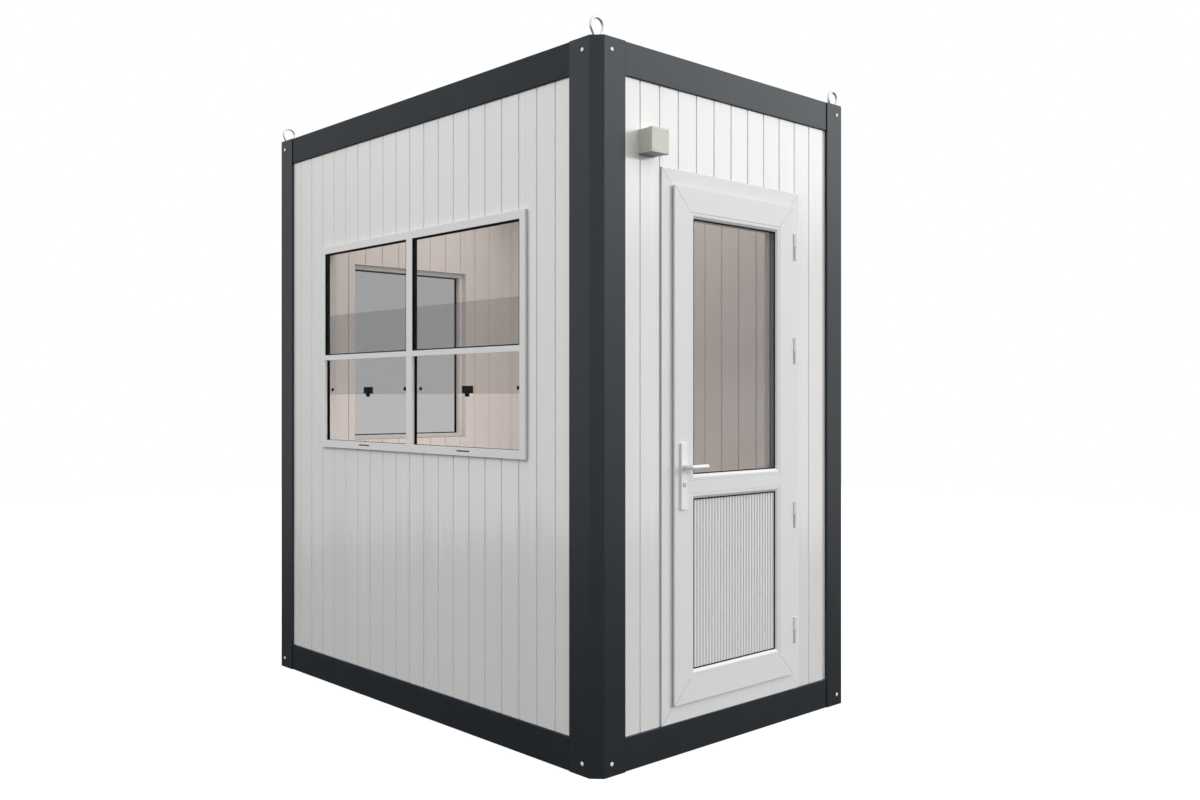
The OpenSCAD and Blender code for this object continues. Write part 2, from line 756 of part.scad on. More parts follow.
post_front_left();
post_front_right();
post_back_left();
post_back_right();
base_beam_front();
base_beam_back();
base_beam_left();
base_beam_right();
roof_beam_front();
roof_beam_back();
roof_beam_left();
roof_beam_right();
floor_joists();
floor_board();
floor_covering();
ceiling_panel();
roof_joists();
roof_sheet();
lifting_eyes();
front_wall_left();
front_wall_right();
front_wall_over_door();
left_wall_front();
left_wall_rear();
left_wall_below_window();
left_wall_above_window();
back_wall_left();
back_wall_right();
back_wall_below_window();
back_wall_above_window();
right_wall();
left_window_frame();
left_window_fixed_glass();
left_window_gaskets();
left_window_tracks();
left_window_sashes();
left_window_catches();
back_window_frame();
back_window_glass();
back_window_gasket();
door_frame();
door_hinges_frame_side();
door_leaf();
door_beads();
door_glass();
door_glass_spacer();
door_gaskets();
door_lower_panel();
door_handle_plates();
door_lock_cylinder();
door_hinges_leaf_side();
door_lever();
junction_box();
junction_box_lid();
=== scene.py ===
"""Looks of the guard booth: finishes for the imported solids, small fittings, light and camera."""

import json
import math

import bpy
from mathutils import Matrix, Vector


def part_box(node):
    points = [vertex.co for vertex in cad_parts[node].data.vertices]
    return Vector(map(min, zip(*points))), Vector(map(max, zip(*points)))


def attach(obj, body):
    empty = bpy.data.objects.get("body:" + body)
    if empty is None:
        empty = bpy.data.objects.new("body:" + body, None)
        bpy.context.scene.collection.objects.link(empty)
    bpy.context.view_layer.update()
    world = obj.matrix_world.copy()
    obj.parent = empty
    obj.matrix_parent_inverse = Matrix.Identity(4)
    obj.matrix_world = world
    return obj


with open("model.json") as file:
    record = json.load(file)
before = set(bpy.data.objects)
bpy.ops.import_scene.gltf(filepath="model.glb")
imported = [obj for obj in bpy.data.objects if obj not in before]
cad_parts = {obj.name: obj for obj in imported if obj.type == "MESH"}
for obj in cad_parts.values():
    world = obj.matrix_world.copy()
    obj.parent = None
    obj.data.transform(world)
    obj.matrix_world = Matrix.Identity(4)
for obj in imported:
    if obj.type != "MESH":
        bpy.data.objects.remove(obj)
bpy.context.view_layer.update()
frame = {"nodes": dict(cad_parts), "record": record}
nodes = frame["nodes"]

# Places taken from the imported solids, in metres
POST_LOW, POST_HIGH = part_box("post_front_left")
HALF_W = -POST_LOW.x
HALF_L = -POST_LOW.y
CABIN_H = POST_HIGH.z
POST_LEG = POST_HIGH.x - POST_LOW.x
BEAM_LOW, BEAM_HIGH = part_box("base_beam_left")
BEAM_H = BEAM_HIGH.z
BEAM_BACK = HALF_W + BEAM_LOW.x
WALL_LOW, WALL_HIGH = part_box("left_wall_below_window")
SKIN_BACK = HALF_W + WALL_LOW.x
WALL_MIDDLE = (SKIN_BACK + HALF_W + WALL_HIGH.x) / 2

# Sizes that the solids don't carry
HOLE_IN = 0.072
HOLE_END = 0.044
MEMBER_W = 0.033
DOOR_BAND = 0.056
STILE_W = 0.112
BEAD_W = 0.022
EYE_IN = 0.041
EYE_FOOT = 0.0115
EYE_BAR = 0.012
BAYS = ((-0.721, -0.027), (0.017, 0.677))
DRAIN_Z = 0.0185
DRAIN_W = 0.084
GASKET_W = 0.005
HEAD_DROP = 0.002
BUTTON_IN = 0.031
BUTTON_UP = 0.022


# Walls: u runs along a wall as seen from outside, d inwards from the face of the posts

def on_front(u, d, z):
    return Vector((u, d - HALF_L, z))


def on_back(u, d, z):
    return Vector((-u, HALF_L - d, z))


def on_left(u, d, z):
    return Vector((d - HALF_W, -u, z))


def on_right(u, d, z):
    return Vector((HALF_W - d, u, z))


WALLS = {on_front: HALF_W, on_back: HALF_W, on_left: HALF_L, on_right: HALF_L}


def outward(wall):
    """Unit normal of a wall, pointing away from the cabin."""
    return wall(0, 0, 0) - wall(0, 1, 0)


# Node helpers

def add_node(tree, kind, settings=None, **inputs):
    made = tree.nodes.new(kind)
    for key, value in (settings or {}).items():
        setattr(made, key, value)
    for key, value in inputs.items():
        made.inputs[key.replace("_", " ")].default_value = value
    return made


def new_material(name, **sockets):
    """A material whose Principled shader has the given constants."""
    made = bpy.data.materials.new(name)
    made.use_nodes = True
    shader = made.node_tree.nodes["Principled BSDF"]
    for key, value in sockets.items():
        shader.inputs[key.replace("_", " ")].default_value = value
    return made, made.node_tree, shader


def noise(tree, scale, stretch=(1, 1, 1), detail=3.0):
    """Noise in the cabin's own coordinates; scale is in waves a metre."""
    place = add_node(tree, "ShaderNodeTexCoord")
    spread = add_node(tree, "ShaderNodeMapping", Scale=stretch)
    tree.links.new(place.outputs["Object"], spread.inputs["Vector"])
    made = add_node(tree, "ShaderNodeTexNoise", Scale=scale, Detail=detail)
    tree.links.new(spread.outputs[0], made.inputs["Vector"])
    return made.outputs[0]


def ramp(tree, source, *stops):
    """Colour ramp; each stop is a place and a colour."""
    made = add_node(tree, "ShaderNodeValToRGB")
    elements = made.color_ramp.elements
    while len(elements) < len(stops):
        elements.new(0.5)
    for element, (place, color) in zip(elements, stops):
        element.position = place
        element.color = (*color, 1.0)
    tree.links.new(source, made.inputs[0])
    return made.outputs[0]


def tint(color, factor):
    return tuple(min(1.0, c * factor) for c in color)


def mottled(tree, color, amount, scale, stretch=(1, 1, 1)):
    """The colour, a little darker and lighter from place to place."""
    source = noise(tree, scale, stretch)
    return ramp(tree, source, (0.3, tint(color, 1 - amount)), (0.7, tint(color, 1 + amount)))


def uneven_roughness(tree, shader, low, high, scale, stretch=(1, 1, 1)):
    spread = add_node(tree, "ShaderNodeMapRange", To_Min=low, To_Max=high)
    tree.links.new(noise(tree, scale, stretch), spread.inputs["Value"])
    tree.links.new(spread.outputs[0], shader.inputs["Roughness"])


def product(tree, first, second):
    made = add_node(tree, "ShaderNodeMath", {"operation": "MULTIPLY"})
    tree.links.new(first, made.inputs[0])
    tree.links.new(second, made.inputs[1])
    return made.outputs[0]


def leaning(tree, scale, amount):
    """Normals that lean up or down a little from one strip of sheet to the next."""
    lean = add_node(tree, "ShaderNodeMapRange", To_Min=-amount, To_Max=amount)
    tree.links.new(noise(tree, scale, (1, 1, 0), 1.0), lean.inputs["Value"])
    upright = add_node(tree, "ShaderNodeCombineXYZ")
    tree.links.new(lean.outputs[0], upright.inputs[2])
    face = add_node(tree, "ShaderNodeNewGeometry")
    leant = add_node(tree, "ShaderNodeVectorMath", {"operation": "ADD"})
    tree.links.new(face.outputs["Normal"], leant.inputs[0])
    tree.links.new(upright.outputs[0], leant.inputs[1])
    unit = add_node(tree, "ShaderNodeVectorMath", {"operation": "NORMALIZE"})
    tree.links.new(leant.outputs[0], unit.inputs[0])
    return unit.outputs[0]


def bump(tree, shader, *layers, normal=None):
    """Layers of relief; each is a height, a strength and a depth in metres."""
    for height, strength, depth in layers:
        made = add_node(tree, "ShaderNodeBump", Strength=strength, Distance=depth)
        tree.links.new(height, made.inputs["Height"])
        if normal:
            tree.links.new(normal, made.inputs["Normal"])
        normal = made.outputs[0]
    tree.links.new(normal, shader.inputs["Normal"])


# Materials

def frame_paint(name, gloss):
    made, tree, shader = new_material(name, Specular_IOR_Level=gloss)
    shader.inputs["Specular Tint"].default_value = (0.84, 0.94, 1.0, 1.0)
    lined(tree, shader, mottled(tree, (0.0200, 0.0242, 0.0275), 0.06, 9))
    uneven_roughness(tree, shader, 0.285, 0.34, 5)
    bump(tree, shader, (noise(tree, 420), 0.10, 0.0006), (noise(tree, 3, (1, 1, 0.3)), 0.10, 0.004))
    return made


def lined(tree, shader, outside):
    """The given colour outside, and the cream lining on what faces the room between floor and ceiling."""
    inside = mottled(tree, (0.73, 0.685, 0.66), 0.02, 4, (1, 1, 0.25))
    place = add_node(tree, "ShaderNodeTexCoord")
    parts = add_node(tree, "ShaderNodeSeparateXYZ")
    shift = add_node(tree, "ShaderNodeVectorMath", {"operation": "SUBTRACT"})
    tree.links.new(place.outputs["Object"], shift.inputs[0])
    shift.inputs[1].default_value = (0, 0, CABIN_H / 2)
    tree.links.new(shift.outputs[0], parts.inputs[0])
    share = None
    for axis, half in enumerate((HALF_W - WALL_MIDDLE, HALF_L - WALL_MIDDLE, CABIN_H / 2 - BEAM_H + 0.006)):
        size = add_node(tree, "ShaderNodeMath", {"operation": "ABSOLUTE"})
        test = add_node(tree, "ShaderNodeMath", {"operation": "LESS_THAN"})
        tree.links.new(parts.outputs[axis], size.inputs[0])
        tree.links.new(size.outputs[0], test.inputs[0])
        test.inputs[1].default_value = half
        share = product(tree, share, test.outputs[0]) if share else test.outputs[0]
    blend = add_node(tree, "ShaderNodeMix", {"data_type": "RGBA"})
    tree.links.new(share, blend.inputs["Factor"])
    tree.links.new(outside, blend.inputs[6])
    tree.links.new(inside, blend.inputs[7])
    tree.links.new(blend.outputs[2], shader.inputs["Base Color"])


def wall_paint():
    """White coil coating outside, cream inside, with the faint waves of thin sheet."""
    made, tree, shader = new_material("wall_paint", Specular_IOR_Level=1.0, Coat_Weight=0.5,
                                      Coat_Roughness=0.1)
    lined(tree, shader, mottled(tree, (0.725, 0.718, 0.705), 0.012, 5, (1, 1, 0.25)))
    uneven_roughness(tree, shader, 0.08, 0.13, 3, (1, 1, 0.2))
    bump(tree, shader, (noise(tree, 7, (1, 1, 0.12), 1.0), 0.12, 0.006),
         (noise(tree, 600), 0.05, 0.0004), normal=leaning(tree, 26, 0.042))
    return made


def white_pvc(name="white_pvc", color=(0.705, 0.705, 0.70), gloss=0.29):
    made, tree, shader = new_material(name, Specular_IOR_Level=0.5)
    tree.links.new(mottled(tree, color, 0.005, 3), shader.inputs["Base Color"])
    uneven_roughness(tree, shader, gloss, gloss + 0.03, 3)
    bump(tree, shader, (noise(tree, 500), 0.05, 0.0003))
    return made


def tinted_glass(name, cover):
    """A pane whose two faces each hold back the share of light given by cover."""
    made, tree, shader = new_material(name, Roughness=0.03, Alpha=cover)
    tree.links.new(mottled(tree, (0.014, 0.014, 0.015), 0.03, 2), shader.inputs["Base Color"])
    return made


def black_rubber():
    made, tree, shader = new_material("black_rubber", Specular_IOR_Level=0.08)
    tree.links.new(mottled(tree, (0.006, 0.006, 0.0065), 0.15, 60), shader.inputs["Base Color"])
    uneven_roughness(tree, shader, 0.45, 0.65, 80)
    bump(tree, shader, (noise(tree, 900), 0.15, 0.0003))
    return made


def black_plastic():
    made, tree, shader = new_material("black_plastic", Specular_IOR_Level=0.03)
    tree.links.new(mottled(tree, (0.004, 0.004, 0.0045), 0.1, 50), shader.inputs["Base Color"])
    uneven_roughness(tree, shader, 0.35, 0.5, 90)
    bump(tree, shader, (noise(tree, 1500), 0.2, 0.0002))
    return made


def bright_steel():
    made, tree, shader = new_material("bright_steel", Metallic=0.6)
    tree.links.new(mottled(tree, (0.76, 0.77, 0.78), 0.04, 60), shader.inputs["Base Color"])
    uneven_roughness(tree, shader, 0.30, 0.42, 120)
    bump(tree, shader, (noise(tree, 800), 0.08, 0.0003))
    return made


def satin_aluminium():
    made, tree, shader = new_material("satin_aluminium", Specular_IOR_Level=0.3)
    tree.links.new(mottled(tree, (0.27, 0.255, 0.25), 0.03, 40), shader.inputs["Base Color"])
    uneven_roughness(tree, shader, 0.5, 0.6, 40)
    return made


def galvanised():
    """Zinc spangle: flat crystals that differ in tone and gloss."""
    made, tree, shader = new_material("galvanised", Metallic=0.85)
    place = add_node(tree, "ShaderNodeTexCoord")
    crystals = add_node(tree, "ShaderNodeTexVoronoi", Scale=70.0)
    tree.links.new(place.outputs["Object"], crystals.inputs["Vector"])
    tone = add_node(tree, "ShaderNodeSeparateColor")
    tree.links.new(crystals.outputs["Color"], tone.inputs[0])
    color = ramp(tree, tone.outputs[0], (0.0, (0.42, 0.44, 0.46)), (1.0, (0.62, 0.64, 0.66)))
    tree.links.new(color, shader.inputs["Base Color"])
    spread = add_node(tree, "ShaderNodeMapRange", To_Min=0.28, To_Max=0.5)
    tree.links.new(tone.outputs[1], spread.inputs["Value"])
    tree.links.new(spread.outputs[0], shader.inputs["Roughness"])
    return made


def plywood():
    made, tree, shader = new_material("plywood")
    grain = noise(tree, 18, (1, 0.06, 1), 6.0)
    color = ramp(tree, grain, (0.3, (0.30, 0.19, 0.10)), (0.55, (0.48, 0.33, 0.19)),
                 (0.8, (0.56, 0.41, 0.25)))
    tree.links.new(color, shader.inputs["Base Color"])
    uneven_roughness(tree, shader, 0.5, 0.7, 20)
    bump(tree, shader, (grain, 0.2, 0.001))
    return made


def vinyl():
    made, tree, shader = new_material("vinyl", Specular_IOR_Level=0.4)
    flecks = noise(tree, 300, detail=1.0)
    color = ramp(tree, flecks, (0.38, (0.20, 0.20, 0.19)), (0.5, (0.34, 0.33, 0.31)),
                 (0.62, (0.46, 0.45, 0.42)))
    tree.links.new(color, shader.inputs["Base Color"])
    uneven_roughness(tree, shader, 0.35, 0.5, 30)
    bump(tree, shader, (noise(tree, 700), 0.12, 0.0004))
    return made


def box_plastic():
    made, tree, shader = new_material("box_plastic", Specular_IOR_Level=0.4)
    tree.links.new(mottled(tree, (0.61, 0.62, 0.535), 0.02, 20), shader.inputs["Base Color"])
    uneven_roughness(tree, shader, 0.4, 0.52, 60)
    bump(tree, shader, (noise(tree, 1100), 0.15, 0.0003))
    return made


def joint_shade():
    """Painted shade of the hairlines where two mitred profiles meet, and of the cuts in slotted screw heads.
    """
    made, tree, shader = new_material("joint_shade", Roughness=0.6)
    tree.links.new(mottled(tree, (0.18, 0.18, 0.18), 0.08, 30), shader.inputs["Base Color"])
    return made


def sealant_and_shade():
    made, tree, shader = new_material("sealant_and_shade", Specular_IOR_Level=0.35)
    # Partly painted shade: the bead is darkened to grey for the shade where frame meets wall.
    tree.links.new(mottled(tree, (0.42, 0.42, 0.41), 0.03, 40), shader.inputs["Base Color"])
    uneven_roughness(tree, shader, 0.4, 0.55, 60)
    bump(tree, shader, (noise(tree, 260), 0.3, 0.0006))
    return made


finishes = {
    "frame_paint": frame_paint("frame_paint", 0.40),
    "wall_paint": wall_paint(),
    "white_pvc": white_pvc(),
    "white_plastic": white_pvc("white_plastic", (0.80, 0.80, 0.80), 0.20),
    "tinted_glass": tinted_glass("tinted_glass", 0.155),
    "black_rubber": black_rubber(),
    "black_plastic": black_plastic(),
    "bright_steel": bright_steel(),
    "galvanised": galvanised(),
    "plywood": plywood(),
    "vinyl": vinyl(),
    "box_plastic": box_plastic(),
}
JOINT_SHADE = joint_shade()
SATIN = satin_aluminium()
LONG_BEAM = frame_paint("frame_paint_long_beam", 0.15)
SEALANT_AND_SHADE = sealant_and_shade()
BACK_GLASS = tinted_glass("tinted_glass_back", 0.33)
DOOR_GLASS = tinted_glass("tinted_glass_door", 0.15)

slot_of = {row["node"]: row["material_slot"] for row in frame["record"]["subparts"]}
for name, obj in nodes.items():
    obj.data.materials.clear()
    obj.data.materials.append(finishes[slot_of[name]])
nodes["back_window_glass"].data.materials[0] = BACK_GLASS
nodes["door_glass"].data.materials[0] = DOOR_GLASS
nodes["door_glass_spacer"].data.materials[0] = SATIN
# The hinges take the lighter white_plastic finish as painted light, lifting the shade on the barrels.
for name in ("door_hinges_frame_side", "door_hinges_leaf_side"):
    nodes[name].data.materials[0] = finishes["white_plastic"]
for name in ("base_beam_left", "base_beam_right", "roof_beam_left", "roof_beam_right"):
    nodes[name].data.materials[0] = LONG_BEAM


# Rounded edges on the solids

EDGE_RADII = {
    0.0030: ["post_front_left", "post_front_right", "post_back_left", "post_back_right", "junction_box_lid"],
    0.0040: ["door_leaf"],
    0.0022: ["base_beam_front", "base_beam_back", "base_beam_left", "base_beam_right", "roof_beam_front",
             "roof_beam_back", "roof_beam_left", "roof_beam_right", "left_window_frame",
             "back_window_frame", "door_frame", "door_beads", "door_handle_plates"],
    0.0012: ["left_window_catches", "door_hinges_frame_side", "door_hinges_leaf_side", "junction_box",
             "door_lock_cylinder"],
    0.0008: ["front_wall_left", "front_wall_right", "front_wall_over_door", "left_wall_front",
             "left_wall_rear", "left_wall_below_window", "left_wall_above_window", "back_wall_left",
             "back_wall_right", "back_wall_below_window", "back_wall_above_window", "right_wall",
             "left_window_gaskets", "left_window_tracks", "back_window_gasket", "door_gaskets",
             "door_lower_panel"],
    0.0004: ["roof_sheet"],
}


def round_edges(obj, radius):
    weld = obj.modifiers.new("weld", "WELD")
    weld.merge_threshold = 0.00002
    flat = obj.modifiers.new("flat_faces", "DECIMATE")
    flat.decimate_type = "DISSOLVE"
    flat.angle_limit = math.radians(0.5)
    bevel = obj.modifiers.new("edges", "BEVEL")
    bevel.width = radius
    bevel.segments = 3
    bevel.limit_method = "ANGLE"
    bevel.angle_limit = math.radians(28)
    even = obj.modifiers.new("normals", "WEIGHTED_NORMAL")
    even.weight = 100


for radius, names in EDGE_RADII.items():
    for name in names:
        round_edges(nodes[name], radius)


# Meshes of the small fittings

class Shape:
    """Collects joined meshes and turns them into one piece of the scene."""

    def __init__(self):
        self.points = []
        self.faces = []

    def rings(self, rings, closed=False):
        """Skin over rings of points of equal length, with end caps unless closed."""
        start = len(self.points)
        size = len(rings[0])
        for ring in rings:
            self.points.extend(ring)
        for k in range(len(rings) if closed else len(rings) - 1):
            low = start + k * size
            high = start + (k + 1) % len(rings) * size
            for j in range(size):
                after = (j + 1) % size
                self.faces.append((low + j, low + after, high + after, high + j))
        if not closed:
            self.faces.append(tuple(start + j for j in reversed(range(size))))
            self.faces.append(tuple(start + (len(rings) - 1) * size + j for j in range(size)))

    def lathe(self, origin, axis, profile, sides=24, hollow=False):
        """Turned piece whose profile points are a radius and a height along the axis.

        The profile of a hollow piece closes on itself.
        """
        turn = axis.to_track_quat("Z", "Y").to_matrix()
        rings = []
        for radius, height in profile:
            ring = []
            for j in range(sides):
                angle = math.tau * j / sides
                local = Vector((radius * math.cos(angle), radius * math.sin(angle), height))
                ring.append(origin + turn @ local)
            rings.append(ring)
        self.rings(rings, hollow)

    def strip(self, start, end, up, width, height):
        """Flat strip with rounded shoulders that lies on a face whose normal is up."""
        side = (end - start).cross(up).normalized() * (width / 2)
        outline = ((-1, -0.6), (-1, 0.5), (-0.6, 1), (0.6, 1), (1, 0.5), (1, -0.6))
        self.rings([[p + side * s + up * (h * height) for s, h in outline] for p in (start, end)])

    def bead(self, start, end, radius, step, sides=10):
        """Round bead from start to end, with tapered ends."""
        axis = end - start
        turn = axis.to_track_quat("Z", "Y").to_matrix()
        count = max(2, int(axis.length / step))
        rings = []
        for k in range(count + 1):
            share = k / count
            taper = min(1.0, 0.35 + 6 * min(share, 1 - share))
            size = radius * taper
            ring = []
            for j in range(sides):
                angle = math.tau * j / sides
                local = Vector((size * math.cos(angle), size * math.sin(angle), 0))
                ring.append(start + axis * share + turn @ local)
            rings.append(ring)
        self.rings(rings)

    def make(self, name, material, body, smooth=True):
        mesh = bpy.data.meshes.new(name)
        mesh.from_pydata(self.points, [], self.faces)
        mesh.validate()
        mesh.materials.append(material)
        if smooth:
            mesh.shade_smooth()
            mesh.set_sharp_from_angle(angle=math.radians(40))
        obj = bpy.data.objects.new(name, mesh)
        bpy.context.scene.collection.objects.link(obj)
        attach(obj, body)


def post_plugs():
    """White pins in black rubber rings in the fastening holes of the posts; the black of the rings is partly
    painted shade of the holes.
    """
    pins = Shape()
    hole_shade_grommets = Shape()
    pin = ((0.0056, -0.004), (0.0056, 0.0009), (0.0073, 0.0009), (0.0073, 0.0014), (0.0060, 0.0021),
           (0.0003, 0.0024))
    hole_shade_grommet = ((0.0057, -0.004), (0.0068, -0.004), (0.0068, -0.0002), (0.0090, -0.0002), (0.0090, 0.0003),
               (0.0080, 0.0008), (0.0062, 0.0008), (0.0057, 0.0002))
    for wall, half in WALLS.items():
        for u in (-half + HOLE_IN, half - HOLE_IN):
            for z in (HOLE_END, CABIN_H - HOLE_END):
                pins.lathe(wall(u, 0, z), outward(wall), pin)
                # Black rubber ring round each pin: partly painted shade of the hole.
                hole_shade_grommets.lathe(wall(u, 0, z), outward(wall), hole_shade_grommet, hollow=True)
    pins.make("post_pins", finishes["white_plastic"], "cabin")
    hole_shade_grommets.make("post_hole_shade_grommets", finishes["black_rubber"], "cabin")


def corner_lines(shape, wall, low, high, width, d):
    """Hairlines of painted shade across the mitred corners of a frame of the given width; low and high are
    (u, z).
    """
    margin = 0.0022
    line_w = 0.0011
    line_h = 0.00012
    for su, sz in ((1, 1), (-1, 1), (1, -1), (-1, -1)):
        u = low[0] if su > 0 else high[0]
        z = low[1] if sz > 0 else high[1]
        start = wall(u + su * margin, d, z + sz * margin)
        end = wall(u + su * (width - margin), d, z + sz * (width - margin))
        shape.strip(start, end, outward(wall), line_w, line_h)


def box_on(wall, node):
    """A node's box in the coordinates of its wall: low (u, z), high (u, z) and the outermost d."""
    low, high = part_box(node)
    if wall is on_front:
        return (low.x, low.z), (high.x, high.z), low.y + HALF_L
    if wall is on_back:
        return (-high.x, low.z), (-low.x, high.z), HALF_L - high.y
    return (-high.y, low.z), (-low.y, high.z), low.x + HALF_W


def mitres():
    """Hairlines of painted shade in the corners of the door frame and the leaf."""
    fixed = Shape()
    low, high, d = box_on(on_front, "door_frame")
    corner_lines(fixed, on_front, low, high, DOOR_BAND, d)
    fixed.make("frame_mitres", JOINT_SHADE, "cabin")
    moving = Shape()
    low, high, d = box_on(on_front, "door_leaf")
    corner_lines(moving, on_front, low, high, STILE_W - BEAD_W, d)
    moving.make("leaf_mitres", JOINT_SHADE, "door")


def sealant_and_shade_beads():
    """Grey bead where the frames lap onto the walls; its grey is partly painted shade of that corner."""
    shape = Shape()
    radius = 0.0022
    frames = {"left_window_frame": on_left, "back_window_frame": on_back, "door_frame": on_front}
    for node, wall in frames.items():
        low, high, _ = box_on(wall, node)
        ring = ((low[0], low[1]), (high[0], low[1]), (high[0], high[1]), (low[0], high[1]))
        corners = [wall(u, SKIN_BACK, z) for u, z in ring]
        first = 1 if node == "door_frame" else 0
        for k in range(first, 4):
            shape.bead(corners[k], corners[(k + 1) % 4], radius, step=0.03)
    shape.make("frame_sealant_and_shade", SEALANT_AND_SHADE, "cabin")


def seam_shade_strips():
    """Black strips as painted shade in the joints between the beams and the posts."""
    shape = Shape()
    width = 0.004
    for wall, half in WALLS.items():
        for side in (-1, 1):
            u = side * (half - POST_LEG - width / 2)
            for z0 in (0, CABIN_H - BEAM_H):
                # Each strip stands in for the shade of the gap where a beam meets a post.
                shape.strip(wall(u, BEAM_BACK, z0 + 0.003), wall(u, BEAM_BACK, z0 + BEAM_H - 0.003),
                            outward(wall), width, 0.0003)
    shape.make("seam_shade_strips", finishes["black_rubber"], "cabin")


def window_seals_and_slot_shade():
    """Black seals on the sill and at the head of the panes, and a black strip in each drain slot as painted
    shade of the slot.
    """
    shape = Shape()
    low, high, face = box_on(on_left, "left_window_frame")
    track_low, track_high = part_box("left_window_tracks")
    depth = track_high.x - track_low.x
    d = (track_low.x + track_high.x) / 2 + HALF_W
    sill = low[1] + MEMBER_W
    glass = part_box("left_window_fixed_glass")[0].x + HALF_W
    top = high[1] - MEMBER_W - GASKET_W - HEAD_DROP
    slot_shade_half = DRAIN_W / 2 - 0.0005
    slot_shade_in = 0.005
    seal_end = 0.001
    up = Vector((0, 0, 1))
    for y0, y1 in BAYS:
        shape.strip(on_left(-y0 - seal_end, d, sill), on_left(-y1 + seal_end, d, sill), up, depth, 0.0016)
        # Black strip set into the drain slot: painted shade of the slot.
        middle = -(y0 + y1) / 2
        ends = [on_left(middle + side * slot_shade_half, face + slot_shade_in, low[1] + DRAIN_Z) for side in (-1, 1)]
        shape.strip(ends[0], ends[1], outward(on_left), 0.0052, 0.0010)
        ends = [on_left(-y, glass, top) for y in (y0 + GASKET_W, y1 - GASKET_W)]
        shape.strip(ends[0], ends[1], outward(on_left), 0.0045, 0.0006)
    shape.make("window_seals_and_slot_shade", finishes["black_rubber"], "cabin")


def pane_fittings():
    """Washers under the stops of the sliding panes, and the stop on the outer face of the far pane."""
    shape = Shape()
    low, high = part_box("left_window_sashes")
    z = low.z + BUTTON_UP
    washer = ((0.0080, -0.0001), (0.0080, 0.0012), (0.0070, 0.0018), (0.0050, 0.0018))
    for y0, y1 in BAYS:
        for y in (y0 + BUTTON_IN, y1 - BUTTON_IN):
            shape.lathe(on_left(-y, high.x + HALF_W, z), -outward(on_left), washer)
    stop = ((0.0080, -0.0001), (0.0080, 0.0012), (0.0064, 0.0022), (0.0003, 0.0025))
    shape.lathe(on_left(-BAYS[1][0] - BUTTON_IN, low.x + HALF_W, z), outward(on_left), stop)
    shape.make("pane_fittings", finishes["black_plastic"], "cabin")


def corner_trims():
    """Angle strips in the upright corners of the inside."""
    shape = Shape()
    leg = 0.038
    right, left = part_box("right_wall")[0].x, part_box("left_wall_rear")[1].x
    front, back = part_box("front_wall_right")[1].y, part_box("back_wall_right")[0].y
    clear = 0.001
    z0, z1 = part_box("floor_covering")[1].z + clear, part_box("ceiling_panel")[0].z - clear
    for x, into_x in ((left, 1), (right, -1)):
        for y, into_y in ((front, 1), (back, -1)):
            for u, v, up in ((0, leg / 2, (into_x, 0, 0)), (leg / 2, 0, (0, into_y, 0))):
                foot = Vector((x + into_x * u, y + into_y * v, z0))
                shape.strip(foot, foot + Vector((0, 0, z1 - z0)), Vector(up), leg, 0.0018)
    shape.make("corner_trims", finishes["wall_paint"], "cabin")


def eye_welds():
    """Fillet welds round the feet of the lifting eyes."""
    shape = Shape()
    bar = EYE_BAR / 2
    profile = ((bar + 0.0050, -0.0003), (bar + 0.0046, 0.0008), (bar + 0.0026, 0.0026),
               (bar + 0.0006, 0.0050), (bar - 0.0030, 0.0052))
    for sx in (-1, 1):
        for sy in (-1, 1):
            for foot in (-EYE_FOOT, EYE_FOOT):
                centre = Vector((sx * (HALF_W - EYE_IN) + foot, sy * (HALF_L - EYE_IN), CABIN_H))
                shape.lathe(centre, Vector((0, 0, 1)), profile)
    shape.make("eye_welds", finishes["bright_steel"], "cabin")


def roof_screws():
    """Hexagon screws with sealing washers that hold the roof sheet to its joists."""
    low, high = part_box("roof_sheet")
    joist_low, joist_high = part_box("roof_joists")
    count = 3
    joist_half = 0.025
    first = joist_low.x + joist_half
    step = (joist_high.x - joist_half - first) / (count - 1)
    pitch = 0.2
    rim = 0.05
    seat = low.z + 0.002
    ribs = int((high.y - low.y - 0.06) / pitch)
    washers = Shape()
    heads = Shape()
    washer = ((0.0085, -0.0002), (0.0085, 0.0010), (0.0070, 0.0022), (0.0003, 0.0026))
    head = ((0.0046, 0.0020), (0.0046, 0.0062), (0.0040, 0.0070), (0.0003, 0.0071))
    for k in range(count):
        for j in range(ribs + 1):
            y = (j - ribs / 2) * pitch
            if abs(y) < high.y - rim:
                place = Vector((first + k * step, y, seat))
                washers.lathe(place, Vector((0, 0, 1)), washer, 16)
                heads.lathe(place, Vector((0, 0, 1)), head, 6)
    washers.make("roof_screw_washers", finishes["black_rubber"], "cabin")
    heads.make("roof_screws", finishes["galvanised"], "cabin", smooth=False)


def handle_details():
    """Screw caps on the handle plates, and a black strip as painted shade in the keyway of the lock."""
    low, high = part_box("door_handle_plates")
    key_low, key_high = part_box("door_lock_cylinder")
    mid_x = (low.x + high.x) / 2
    key_z = (key_low.z + key_high.z) / 2
    key_half = 0.004
    cap_in = 0.013
    cap = ((0.0042, -0.0004), (0.0042, 0.0003), (0.0036, 0.0008), (0.0002, 0.0010))
    caps = Shape()
    keyway_shades = Shape()
    for y, key_y, out in ((low.y, key_low.y, Vector((0, -1, 0))), (high.y, key_high.y, Vector((0, 1, 0)))):
        for z in (low.z + cap_in, high.z - cap_in):
            caps.lathe(Vector((mid_x, y, z)), out, cap)
        ends = [Vector((mid_x, key_y, key_z + side * key_half)) for side in (-1, 1)]
        # Black strip: painted shade inside the keyway.
        keyway_shades.strip(ends[0], ends[1], out, 0.0018, 0.0002)
    caps.make("handle_screw_caps", finishes["white_plastic"], "door")
    keyway_shades.make("lock_keyway_shades", finishes["black_plastic"], "door")


